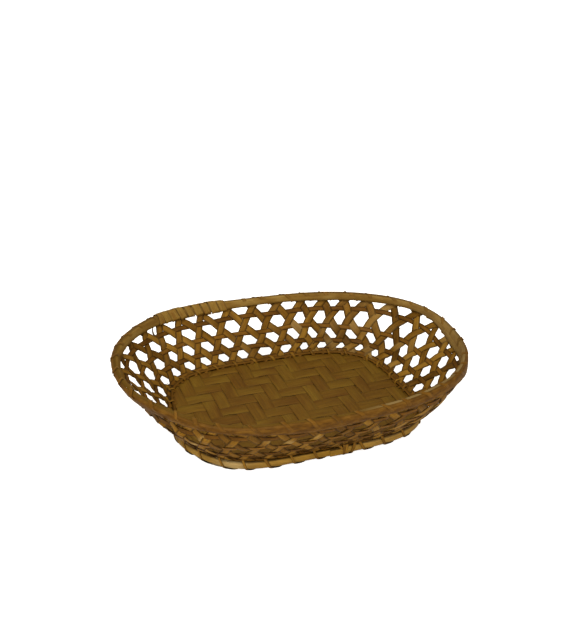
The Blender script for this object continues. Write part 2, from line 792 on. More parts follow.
@dataclass
class SubAssembly:
    """Pieces of one part of the basket, each kept with the bamboo that it is finished in."""

    form: BasketForm
    pieces: list[tuple[bpy.types.Object, SplitBamboo]] = field(default_factory=list, init=False)

    def add(self, name: str, work: bmesh.types.BMesh, finish: SplitBamboo, slot: Slot, node: str) -> None:
        """Turn a bmesh into a piece that rides on the basket, and keep it to be dressed.

        Args:
            name: name of the piece.
            work: its finished shape, which is freed.
            finish: the bamboo that it is finished in.
            slot: the record's slot of its finish.
            node: CAD node that it stands for.
        """
        mesh = bpy.data.meshes.new(name)
        work.to_mesh(mesh)
        work.free()
        mesh.shade_smooth()
        piece = bpy.data.objects.new(name, mesh)
        bpy.context.scene.collection.objects.link(piece)
        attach(piece, BODY)
        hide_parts(node)
        self.pieces.append((piece, finish))

    def dress(self) -> None:
        """Give each piece its material."""
        for piece, finish in self.pieces:
            piece.data.materials.append(finish.material())


# The open wall

class Lean(Enum):
    """The side to which a splint leans on its way up, seen from outside, and the sign of its turns."""

    RIGHT = 1
    LEFT = -1


@dataclass
class OpenWall(SubAssembly):
    """Three-way open weave: splints that lean both ways and level weavers, locked over and under.

    Strips swing in and out past one another, and stay clamped, at a share of the swing, in the hoops.
    A splint strays sideways a little more with each row. All are rubbed here and there, those between
    the worn turns more, and some between the pale turns have one scraped, pale spot.
    """

    splint_width: float = 0.0060
    splint_thickness: float = 0.00042
    width_spread: float = 0.07
    widening: Table = (
        (0.0, 0.18), (0.12, 0.18), (0.18, 0.03), (0.4, 0.02), (0.46, 0.08), (0.56, 0.1), (0.62, 0.0),
        (0.76, 0.0), (0.82, 0.18), (1.0, 0.18))
    weaver_widths: tuple[float, ...] = (0.0054, 0.0043, 0.0041, 0.0043)
    weaver_thickness: float = 0.00046
    swing: float = 0.00036
    clamped_share: float = 0.65
    steps_a_row: int = 14
    weaver_steps: int = 720
    sideways_mm: float = 0.9
    sideways_at_foot: float = 0.4
    sideways_a_row: float = 0.2
    sideways_rows: float = 9.0
    height_mm: float = 0.6
    lowest_height_share: float = 0.4
    top_share: float = 0.6
    rim_run: float = 0.002
    rubbed: float = 0.4
    rubbed_rows: float = 5.0
    rubbed_start: float = 0.1
    worn_turns: tuple[float, float] = (0.05, 0.18)
    worn_depths: tuple[float, float] = (0.25, 0.75)
    pale_turns: tuple[float, float] = (0.59, 0.69)
    pale_share: float = 0.6
    pale_depths: tuple[float, float] = (0.5, 1.6)
    pale_rows: tuple[float, float] = (1.6, 2.8)
    pale_reach: float = 0.16
    finish: SplitBamboo = WALL_BAMBOO
    weaver_finish: SplitBamboo = WEAVER_BAMBOO

    def splint(self, column: int, lean: Lean) -> bmesh.types.BMesh:
        """One leaning splint, from the foot to the rim's top.

        Args:
            column: number of the splint round the basket.
            lean: the side to which it leans.

        Returns:
            Its shape.
        """
        form = self.form
        foot_row = form.row_at(form.foot_rise * 2)
        top_row = form.row_at(form.neck + (form.rim_top - form.neck) * self.top_share)
        rows = np.linspace(foot_row, top_row, int((top_row - foot_row) * self.steps_a_row))
        rightwards = lean is Lean.RIGHT
        even = (column + (0.0 if rightwards else 0.5) + lean.value * rows / 2) / form.columns
        seed = column * 2 + rightwards
        drift = (wander(rows / self.sideways_rows, SEEDS["splint_drift"] + seed, (1, 2, 3))
                 * self.sideways_mm * MM * (self.sideways_at_foot + self.sideways_a_row * rows))
        turns = even + form.phase(even, rows) / form.columns + drift / form.round_at(form.first_weaver)
        heights = form.woven_height(even, rows)
        at_foot = np.clip((heights - form.foot_top) / (form.first_weaver - form.foot_top), 0, 1)
        at_rim = np.clip((form.neck - heights) / self.rim_run, 0, 1)
        free = at_foot * at_rim
        swings = lean.value * self.swing * ((1 - free) * self.clamped_share
                                            - free * squarish(np.cos(2 * math.pi * rows)))
        draw = np.random.default_rng(seed)
        spot = float(even[0]) % 1.0
        wider = float(read_table(self.widening, spot))
        width = self.splint_width * (1 + self.width_spread * draw.uniform(-1, 1) + wider)
        worn = draw.uniform(0, 1) ** 3 * self.rubbed
        worn += draw.uniform(*self.worn_depths) if self.worn_turns[0] < spot < self.worn_turns[1] else 0.0
        marks = wander(rows / self.rubbed_rows, SEEDS["splint_wear"] + seed, (1, 2, 3))
        wear = worn * np.clip(self.rubbed_start + marks, 0, 1)
        if self.pale_turns[0] < spot < self.pale_turns[1] and draw.uniform(0, 1) < self.pale_share:
            depth = draw.uniform(*self.pale_depths)
            wear = wear + depth * np.exp(-((rows - draw.uniform(*self.pale_rows)) / self.pale_reach) ** 2)
        return lay_strip(form.on_wall(turns, heights, swings), form.outward(turns, heights),
                         StripProfile(width, self.splint_thickness), seed + TONES["splint"], wear=wear)

    def weaver(self, row: int) -> bmesh.types.BMesh:
        """One level weaver, all the way round.

        Args:
            row: row of the weave.

        Returns:
            Its shape.
        """
        form = self.form
        turns = np.arange(self.weaver_steps) / self.weaver_steps
        lift = wander(turns, SEEDS["weaver_lift"] + row, (3, 5, 8, 13)) * self.height_mm * MM
        rows = np.full_like(turns, float(row))
        heights = form.woven_height(turns, rows) + (lift if row else lift * self.lowest_height_share)
        place = turns * form.columns - form.phase(turns, rows) - row / 2
        swings = self.swing * squarish(np.cos(2 * math.pi * place))
        return lay_strip(form.on_wall(turns, heights, swings), form.outward(turns, heights),
                         StripProfile(self.weaver_widths[row], self.weaver_thickness),
                         TONES["weaver"] + row, closed=True)

    def build(self) -> None:
        """Make every strip of the wall."""
        for column in range(self.form.columns):
            for lean, node in ((Lean.RIGHT, "foot_ring_with_outer_splints"),
                               (Lean.LEFT, "foot_hoop_with_inner_splints")):
                self.add(f"{lean.name.lower()}_splint_{column + 1:02d}", self.splint(column, lean),
                         self.finish, Slot.SPLINT, node)
        for row in range(len(self.weaver_widths)):
            self.add(f"weaver_{row + 1}", self.weaver(row), self.weaver_finish, Slot.WEAVER,
                     f"wall_weaver_{row + 1}")


# The twilled floor

class Way(Enum):
    """The way in which a floor strip runs: across the basket, along Y, or along it, along X."""

    CROSS = "cross"
    LONG = "long"


@dataclass
class TwillFloor(SubAssembly):
    """Floor of flat strips in two-over-two twill, its edge under the base hoop.

    A strip narrows here and there, by up to its gap share, which opens dark gaps. Its ends are cut
    along the bent foot, and the floor is darkened by use towards the front. A lead is the place in the
    twill's beat of four strips at which the first strip of a way starts, and the cross strips' numbers
    for uneven lines lie further on than the long strips'.
    """

    cross_count: int = 17
    long_count: int = 11
    thickness: float = 0.00045
    swing: float = 0.00032
    sharpness: float = 2.0
    cross_lead: float = -0.5
    long_lead: float = 2.5
    slit: float = 0.00012
    gap_share: float = 0.16
    gap_start: float = 0.4
    edge_inset: float = 0.0010
    end_fade: float = 0.012
    end_reach: float = 0.97
    trim_lines: int = 7
    darkening: float = 0.5
    dark_start: float = 0.8
    dark_run: float = 0.035
    steps: int = 110
    drift_mm: float = 0.16
    uneven_length: float = 0.3
    cross_seed: int = 40
    cross_place_seed: int = 50
    finish: SplitBamboo = FLOOR_BAMBOO
    cross_pitch: float = field(init=False)
    long_pitch: float = field(init=False)

    def __post_init__(self) -> None:
        """Read the strips' spacing from the frame."""
        self.cross_pitch = self.spacing(Way.CROSS, self.cross_count, 0)
        self.long_pitch = self.spacing(Way.LONG, self.long_count, 1)

    def spacing(self, way: Way, count: int, axis: int) -> float:
        """Distance between the frame's strips of one way.

        Args:
            way: that way.
            count: how many there are.
            axis: axis across them.

        Returns:
            The distance.
        """
        middle = count // 2 + 1
        boxes = [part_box(f"floor_{way.value}_strip_{number:02d}") for number in (middle - 2, middle + 2)]
        places = [(low[axis] + high[axis]) / 2 for low, high in boxes]
        return abs(places[1] - places[0]) / 4

    def ends(self, place: float, axis: int) -> tuple[float, float]:
        """Where the foot's bent hoops cut a strip off.

        Args:
            place: the strip's place on the axis across it.
            axis: that axis.

        Returns:
            The places of its two ends, along it.
        """
        form = self.form
        turns = np.arange(form.turn_count) / form.turn_count
        level = np.full_like(turns, form.foot_top)
        edge = form.middle(turns, level) - form.level_outward(turns, level) * self.edge_inset
        own, other = edge[:, axis], edge[:, 1 - axis]
        side = own - np.clip(place, self.end_reach * np.min(own), self.end_reach * np.max(own))
        step = np.roll(side, -1)
        cut = np.nonzero(side * step < 0)[0]
        spots = other[cut] + (np.roll(other, -1)[cut] - other[cut]) * side[cut] / (side[cut] - step[cut])
        return float(np.min(spots)), float(np.max(spots))

    def strip(self, number: int, way: Way) -> bmesh.types.BMesh:
        """One floor strip, from edge to edge.

        Args:
            number: the strip's number from zero.
            way: the way in which it runs.

        Returns:
            Its shape.
        """
        across = way is Way.CROSS
        count, crossed = ((self.cross_count, self.long_count) if across
                          else (self.long_count, self.cross_count))
        pitch, crossed_pitch = ((self.cross_pitch, self.long_pitch) if across
                                else (self.long_pitch, self.cross_pitch))
        axis = 0 if across else 1
        seed = number + self.cross_seed * across
        place = (number - (count - 1) / 2) * pitch
        draw = np.random.default_rng(SEEDS["floor_place"] + number + self.cross_place_seed * across)
        spots = np.linspace(*self.ends(place, axis), self.steps)
        index = spots / crossed_pitch + (crossed - 1) / 2
        lead = number + (self.cross_lead if across else self.long_lead)
        lift = self.swing * squarish(np.cos(2 * math.pi * (index - lead) / 4), self.sharpness)
        uneven = spots / self.uneven_length
        bow = wander(uneven, SEEDS["floor_bow"] + seed, (1, 2, 3)) * self.drift_mm * MM
        sideways = place + bow + draw.uniform(-1, 1) * self.drift_mm * MM / 2
        middle = self.form.floor_top - self.thickness / 2 - self.swing
        columns = (sideways, spots) if across else (spots, sideways)
        centres = np.column_stack([*columns, middle + lift])
        gaps = np.clip(wander(uneven, SEEDS["floor_gap"] + seed, (5, 8, 13)) - self.gap_start, 0, 1)
        wear = self.darkening * np.clip(-centres[:, 1] / self.dark_run - self.dark_start, 0, 1)
        work = lay_strip(centres, np.tile(UP, (len(centres), 1)),
                         StripProfile(pitch - self.slit, self.thickness), TONES["floor"] + seed,
                         width_shares=1 - self.gap_share * gaps, wear=wear)
        self.trim(work, place, pitch, (spots[0], spots[-1]), axis)
        return work

    def trim(self, work: bmesh.types.BMesh, place: float, pitch: float, tips: tuple[float, float],
             axis: int) -> None:
        """Cut a strip's ends along the bent foot.

        Args:
            work: the strip's shape, which is changed.
            place: the strip's place on the axis across it.
            pitch: distance between strips.
            tips: places of its middle line's ends, along it.
            axis: the axis across it.
        """
        lines = place + np.linspace(-0.5, 0.5, self.trim_lines) * pitch
        cuts = np.array([self.ends(float(line), axis) for line in lines])
        for vert in work.verts:
            own, other = vert.co[axis], vert.co[1 - axis]
            for side, tip in enumerate(tips):
                shift = float(np.interp(own, lines, cuts[:, side])) - tip
                fade = self.end_fade + 2 * abs(shift)
                vert.co[1 - axis] += shift * max(0.0, 1 - abs(other - tip) / fade)

    def build(self) -> None:
        """Make every strip of the floor."""
        for way, count in ((Way.CROSS, self.cross_count), (Way.LONG, self.long_count)):
            for number in range(count):
                self.add(f"{way.value}_strip_{number + 1:02d}", self.strip(number, way), self.finish,
                         Slot.FLOOR, f"floor_{way.value}_strip_{number + 1:02d}")


# Hoops of the rim and the foot

# How tall the rim's hoops are, against the frame's, along the way round: the strips weren't split evenly
RIM_HEIGHTS: Table = (
    (0.0, 1.05), (0.03, 0.8), (0.07, 0.72), (0.1, 0.78), (0.13, 0.76), (0.17, 0.86), (0.2, 0.78),
    (0.25, 0.78), (0.29, 0.92), (0.33, 0.95), (0.36, 0.94), (0.42, 0.94), (0.5, 1.08), (0.56, 0.95),
    (0.6, 0.74), (0.64, 0.58), (0.668, 0.7), (0.7, 1.1), (0.722, 1.2), (0.75, 1.0), (0.8, 0.92),
    (0.86, 0.88), (0.9, 0.9), (0.94, 1.2), (0.98, 1.28), (1.0, 1.05))
# How far the rim's top edge dips, in millimetres: the front was bent down a little by hand
RIM_DIPS: Table = (
    (0.0, 0.0), (0.58, 0.0), (0.612, 1.2), (0.64, 2.6), (0.668, 1.8), (0.7, 0.3), (0.722, 0.5),
    (0.75, 1.0), (0.78, 0.2), (0.82, 0.0), (1.0, 0.0))


def dip_at(turns: np.ndarray) -> np.ndarray:
    """How far the rim's top edge dips at places round the basket."""
    return read_table(RIM_DIPS, turns) * MM


@dataclass(frozen=True)
class Hoop:
    """A flat hoop that follows the wall: where it lies, how thick it is and what it looks like."""

    name: str
    node: str
    low: float
    high: float
    inside: float
    outside: float
    tone: float
    finish: SplitBamboo
    upright: bool = False
    dips: bool = False
    closing: float = 0.0
    waver_mm: float = 0.25
    steps: int = 480
    heights: Table = ((0.0, 1.0), (1.0, 1.0))
    wear: Table = ((0.0, 0.0), (1.0, 0.0))
    rounding_share: float = 0.42
    crown_share: float = 0.14
    back_share: float = 0.04

    def shape(self, form: BasketForm) -> bmesh.types.BMesh:
        """Bend the hoop round the wall.

        Args:
            form: the basket's form.

        Returns:
            Its shape.
        """
        turns = np.arange(self.steps) / self.steps
        shares = read_table(self.heights, turns)
        middle = self.high - (self.high - self.low) * shares / 2 - (dip_at(turns) if self.dips else 0.0)
        waver = wander(turns, int(self.tone) + SEEDS["hoop"], (2, 5, 9, 16)) * self.waver_mm * MM
        offset = (self.inside + self.outside) / 2 + waver / 2
        if self.upright:
            level = np.full_like(turns, form.foot_top)
            outs = form.level_outward(turns, level)
            centres = form.middle(turns, level) + outs * offset[:, None]
            centres[:, 2] = middle + waver / 3
        else:
            outs = form.outward(turns, middle)
            centres = form.on_wall(turns, middle, offset)
        path = tangents(centres, closed=True)
        sides = unit(np.cross(outs, path))
        tall = (self.high - self.low) / float(np.mean(sides[:, 2]))
        sides = unit(sides - outs * self.closing / tall)
        fullest = float(np.max(shares))
        profile = StripProfile(tall * fullest, self.outside - self.inside, self.rounding_share,
                               self.crown_share, self.back_share)
        faces = unit(np.cross(path, sides)) * (1 if self.outside > 0 else -1)
        return skin_strip(centres, sides, faces, profile, self.tone, closed=True,
                          width_shares=shares / fullest, wear=read_table(self.wear, turns))


@dataclass
class Hoops(SubAssembly):
    """The hoops that clasp the wall at the rim and the foot.

    A slot, filled by the splints' ends, parts the two hoops of a pair, and a reach is how far a hoop's
    free face stands off the wall's middle.
    """

    rim_reach: float = 0.0026
    rim_slot: float = 0.0006
    rim_waver_mm: float = 0.1
    rim_wear: Table = (
        (0.0, 0.35), (0.05, 0.3), (0.1, 0.1), (0.4, 0.1), (0.45, 0.0), (0.76, 0.0), (0.8, 0.6),
        (0.9, 0.6), (0.96, 0.3), (1.0, 0.35))
    ring_reach: float = 0.0024
    ring_slot: float = 0.0004
    ring_wear: Table = (
        (0.0, 0.1), (0.6, 0.2), (0.625, 1.3), (0.638, 1.3), (0.65, 0.2), (0.75, 0.0), (0.8, 0.3),
        (1.0, 0.1))
    foot_hoop_reach: float = 0.0036
    edge_hoop_width: float = 0.0016
    edge_hoop_height: float = 0.0024

    def build(self) -> None:
        """Make the five hoops."""
        form = self.form
        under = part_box("floor_long_strip_06")[0].z
        hoops = (
            Hoop("rim_hoop_outside", "rim_outer_hoop", form.neck, form.rim_top, self.rim_slot / 2,
                 self.rim_reach, TONES["rim_outside"], RIM_SKIN_BAMBOO, heights=RIM_HEIGHTS, dips=True,
                 closing=self.rim_slot, waver_mm=self.rim_waver_mm),
            Hoop("rim_hoop_inside", "rim_inner_hoop", form.neck, form.rim_top, -self.rim_reach,
                 -self.rim_slot / 2, TONES["rim_inside"], RIM_PITH_BAMBOO, heights=RIM_HEIGHTS, dips=True,
                 closing=-self.rim_slot, waver_mm=self.rim_waver_mm, wear=self.rim_wear),
            Hoop("foot_ring", "foot_ring_with_outer_splints", form.foot_rise, form.foot_top,
                 self.ring_slot, self.ring_reach, TONES["foot_ring"], FOOT_SKIN_BAMBOO, upright=True,
                 wear=self.ring_wear),
            Hoop("foot_hoop", "foot_hoop_with_inner_splints", form.foot_rise, under,
                 -self.foot_hoop_reach, -self.ring_slot, TONES["foot_hoop"], WALL_BAMBOO, upright=True),
            Hoop("floor_edge_hoop", "base_hoop", form.floor_top, form.floor_top + self.edge_hoop_height,
                 -self.ring_slot - self.edge_hoop_width, -self.ring_slot, TONES["floor_edge"], LASH_CANE,
                 upright=True),
        )
        for hoop in hoops:
            self.add(hoop.name, hoop.shape(form), hoop.finish, Slot.HOOP, hoop.node)


# Cane windings

@dataclass(frozen=True)
class CaneLoop:
    """One loop of cane: where it starts, its width, and how far it stands off what it binds.

    Its lean is the share of its way on to the next loop that it makes as it goes round. It makes the
    rest at its end, under the hoop.
    """

    turn: float
    lean: float
    width: float
    lift: float


@dataclass
class Winding:
    """Cane wound round and round, on a rounded box section, in places that a hand chose.

    The section's low, high, inside and outside are those of the hoops that it binds. It follows the
    wall's slope, or stands upright where a level is given, at the wall's oval of that height.
    """

    form: BasketForm
    low: float
    high: float
    inside: float
    outside: float
    thickness: float
    level: float | None = None
    power: float = 5.0
    points: int = 44
    section_steps: int = 720
    lean_start: float = 0.04
    lean_run: float = 0.92
    last_start: float = 0.88
    last_run: float = 0.12
    rounding_share: float = 0.45
    crown_share: float = 0.1
    shares: Table = ((0.0, 1.0), (1.0, 1.0))
    inner_wear: float = 0.0
    under_wear: float = 0.0
    under_spread: float = 1.4

    def section(self, lift: float) -> tuple[np.ndarray, np.ndarray, np.ndarray, np.ndarray]:
        """Evenly spaced points of the loop's own plane.

        Args:
            lift: extra distance off the bound hoops.

        Returns:
            Heights, offsets, and the outward direction's two parts.
        """
        fine = np.linspace(0, 2 * math.pi, self.section_steps + 1) - math.pi / 2
        grow = self.thickness / 2 + lift
        half_height = (self.high - self.low) / 2 + grow
        half_depth = (self.outside - self.inside) / 2 + grow
        share = 2 / self.power
        heights = half_height * np.sign(np.sin(fine)) * np.abs(np.sin(fine)) ** share
        offsets = -half_depth * np.sign(np.cos(fine)) * np.abs(np.cos(fine)) ** share
        run = np.concatenate(([0.0], np.cumsum(np.hypot(np.diff(heights), np.diff(offsets)))))
        spots = np.arange(self.points) / self.points * run[-1]
        height = np.interp(spots, run, heights)
        offset = np.interp(spots, run, offsets)
        rise = np.sign(height) * np.abs(height / half_height) ** (self.power - 1) / half_height
        depth = np.sign(offset) * np.abs(offset / half_depth) ** (self.power - 1) / half_depth
        size = np.hypot(rise, depth)
        return (height + (self.low + self.high) / 2, offset + (self.inside + self.outside) / 2,
                rise / size, depth / size)

    def shape(self, loops: Sequence[CaneLoop], tone: float) -> bmesh.types.BMesh:
        """Wind the cane through all loops.

        Args:
            loops: the loops in turn; the cane moves on under the hoop from each to the next.
            tone: number that sets the first loop's tone; the next ones count on from it.

        Returns:
            The cane's shape.
        """
        form = self.form
        share = np.arange(self.points) / self.points
        leaning = np.clip((share - self.lean_start) / self.lean_run, 0, 1)
        last = np.clip((share - self.last_start) / self.last_run, 0, 1)
        parts = []
        for number, loop in enumerate(loops):
            step = loops[number + 1].turn - loop.turn if number + 1 < len(loops) else 0.0
            turns = loop.turn + loop.lean * step * leaning + (1 - loop.lean) * step * last
            parts.append((turns, *self.section(loop.lift), np.full(self.points, loop.width),
                          np.full(self.points, tone + number)))
        turns, heights, offsets, rises, depths, widths, tones = (np.concatenate(part)
                                                                 for part in zip(*parts))
        heights = self.high - (self.high - heights) * read_table(self.shares, turns)
        if self.level is None:
            heights = heights - dip_at(turns)
            normals, ups = form.outward(turns, heights), form.upward(turns, heights)
            centres = form.middle(turns, heights) + normals * offsets[:, None]
        else:
            level = np.full_like(heights, self.level)
            normals, ups = form.level_outward(turns, level), np.tile(UP, (len(turns), 1))
            centres = form.middle(turns, level) + normals * offsets[:, None]
            centres[:, 2] = heights
        widest = float(np.max(widths))
        profile = StripProfile(widest, self.thickness, self.rounding_share, self.crown_share)
        wear = (self.inner_wear * np.clip(-depths, 0, 1)
                + self.under_wear * np.clip(-self.under_spread * rises, 0, 1))
        outs = unit(normals * depths[:, None] + ups * rises[:, None])
        return lay_strip(centres, outs, profile, tones, width_shares=widths / widest, wear=wear)


@dataclass
class Lashings(SubAssembly):
    """All cane of the basket: round the rim, over the rim's lap and round the foot.

    Pairs of widths, leans and lifts are limits that each loop's own is drawn between, the widths as
    shares of the cane's. Columns are counted round the basket as the splints are.
    """

    rim_loops: int = 36
    rim_columns: tuple[float, float] = (12.6, 45.2)
    rim_spread: float = 0.25
    rim_reach: float = 0.0025
    lash_width: float = 0.0030
    lash_widths: tuple[float, float] = (0.75, 1.2)
    lash_leans: tuple[float, float] = (0.85, 1.0)
    lash_lifts: tuple[float, float] = (0.0, 0.0001)
    lash_thickness: float = 0.0003
    inner_wear: float = 0.3
    binding_column: float = 10.2
    binding_turns: int = 9
    binding_step: float = 0.0070
    binding_reach: float = 0.0026
    binding_width: float = 0.0074
    binding_widths: tuple[float, float] = (0.66, 1.08)
    binding_lifts: tuple[float, float] = (0.0004, 0.0012)
    foot_loops: int = 32
    foot_turns: tuple[float, float] = (0.01, 1.002)
    foot_spread: float = 0.2
    foot_inside: float = -0.0022
    foot_outside: float = 0.0025
    foot_over: float = 0.0024
    foot_under_share: float = 1.1
    foot_power: float = 3.2
    foot_width: float = 0.0024
    foot_widths: tuple[float, float] = (0.75, 1.1)
    foot_leans: tuple[float, float] = (0.5, 0.9)
    foot_thickness: float = 0.0009
    under_wear: float = 2.2
    tie_turns: tuple[float, ...] = (0.794, 0.780, 0.772)
    tie_lean: float = 0.9
    tie_lift: float = 0.0005
    finish: SplitBamboo = LASH_CANE
    bind_finish: SplitBamboo = BIND_CANE
    foot_finish: SplitBamboo = FOOT_CANE

    def uneven_turns(self, count: int, start: float, stop: float, seed: int, spread: float) -> list[float]:
        """Starts of loops, unevenly spaced.

        Args:
            count: how many.
            start: turn of the first.
            stop: turn after the last.
            seed: number that sets the unevenness.
            spread: largest shift, as a share of the spacing.

        Returns:
            The turns.
        """
        draw = np.random.default_rng(seed)
        step = (stop - start) / count
        return [start + (number + draw.uniform(-spread, spread)) * step for number in range(count + 1)]

    def build(self) -> None:
        """Make the rim lash, the rim binding, the base lash and its tie."""
        form = self.form
        pitch = 1 / form.columns
        draw = np.random.default_rng(SEEDS["cane"])

        rim = Winding(form, form.neck, form.rim_top, -self.rim_reach, self.rim_reach, self.lash_thickness,
                      shares=RIM_HEIGHTS, inner_wear=self.inner_wear)
        start, stop = (column * pitch for column in self.rim_columns)
        loops = [CaneLoop(turn, draw.uniform(*self.lash_leans),
                          self.lash_width * draw.uniform(*self.lash_widths),
                          draw.uniform(*self.lash_lifts))
                 for turn in self.uneven_turns(self.rim_loops, start, stop, SEEDS["rim_loops"],
                                               self.rim_spread)]
        self.add("rim_lash_cane", rim.shape(loops, TONES["rim_lash"]), self.finish, Slot.CANE, "rim_lash")

        binding = Winding(form, form.neck, form.rim_top, -self.binding_reach, self.binding_reach,
                          self.lash_thickness, shares=RIM_HEIGHTS)
        step = self.binding_step / form.round_at(form.neck)
        loops = [CaneLoop(turn, 1.0, self.binding_width * draw.uniform(*self.binding_widths),
                          draw.uniform(*self.binding_lifts))
                 for turn in np.arange(self.binding_turns) * step + self.binding_column * pitch]
        self.add("rim_binding_cane", binding.shape(loops, TONES["rim_binding"]), self.bind_finish,
                 Slot.CANE, "rim_binding")

        foot = Winding(form, self.foot_thickness * self.foot_under_share, form.floor_top + self.foot_over,
                       self.foot_inside, self.foot_outside, self.foot_thickness, form.foot_top,
                       self.foot_power, under_wear=self.under_wear)
        loops = [CaneLoop(turn, draw.uniform(*self.foot_leans),
                          self.foot_width * draw.uniform(*self.foot_widths), 0.0)
                 for turn in self.uneven_turns(self.foot_loops, *self.foot_turns, SEEDS["foot_loops"],
                                               self.foot_spread)]
        self.add("base_lash_cane", foot.shape(loops, TONES["base_lash"]), self.foot_finish, Slot.CANE,
                 "base_lash")
        tie = replace(foot, low=foot.low + self.tie_lift)
        loops = [CaneLoop(turn, self.tie_lean, self.foot_width, self.tie_lift) for turn in self.tie_turns]
        self.add("base_lash_tie", tie.shape(loops, TONES["tie"]), self.foot_finish, Slot.CANE, "base_lash")


# Small marks of handwork

@dataclass(frozen=True)
class Fibre:
    """A loose end: where it starts, how it lies, and its size."""

    turn: float
    height: float
    offset: float
    length: float
    heading: float
    curl: float
    width: float
    pale: float = 0.0


# The loose ends that the basket has one by one, and two pale cut ends on its foot ring
LONE_FIBRES = (
    Fibre(0.372, 0.0395, 0.0010, 0.0105, 75, -75, 0.0019),
    Fibre(0.066, 0.0330, -0.0008, 0.0070, -20, 40, 0.0010),
    Fibre(0.075, 0.0380, -0.0009, 0.0050, 60, 50, 0.0008),
    Fibre(0.897, 0.0465, -0.0030, 0.0055, 90, 12, 0.0007),
    Fibre(0.196, 0.0120, -0.0010, 0.0060, 10, 60, 0.0010),
    Fibre(0.171, 0.0140, -0.0010, 0.0050, 40, -50, 0.0009),
    Fibre(0.6265, 0.0084, 0.0026, 0.0022, 35, 10, 0.0016, 3.0),
    Fibre(0.6190, 0.0082, 0.0026, 0.0017, -20, 0, 0.0013, 3.0),
)


@dataclass(frozen=True)
class FibreTuft:
    """A stretch of frayed edge: how many fibres it has, and the limits that they are drawn between."""

    count: int
    turns: tuple[float, float]
    heights: tuple[float, float]
    offset: float
    lengths: tuple[float, float]
    headings: tuple[float, float]
    curls: tuple[float, float]
    widths: tuple[float, float] = (0.0007, 0.0014)
    dark_share: float | None = None

    def fibres(self, draw: np.random.Generator) -> list[Fibre]:
        """Draw the fibres.

        Args:
            draw: the random numbers.

        Returns:
            The fibres; where dark_share is given, the rest of them are pale.
        """
        specs = []
        for _ in range(self.count):
            turn, height = draw.uniform(*self.turns), draw.uniform(*self.heights)
            shape = [draw.uniform(*limits) for limits in (self.lengths, self.headings, self.curls,
                                                          self.widths)]
            pale = 0.0 if self.dark_share is None else float(draw.uniform(0, 1) > self.dark_share)
            specs.append(Fibre(turn, height, self.offset, *shape, pale))
        return specs


# Frayed edges: inside at the left end, and outside at the front left
TUFTS = (
    FibreTuft(12, (0.385, 0.475), (0.0070, 0.0095), -0.0012, (0.004, 0.009), (-40, 60), (-80, 80)),
    FibreTuft(14, (0.57, 0.68), (0.0068, 0.0088), 0.0010, (0.004, 0.008), (-15, 25), (-50, 50),
              dark_share=0.6),
)


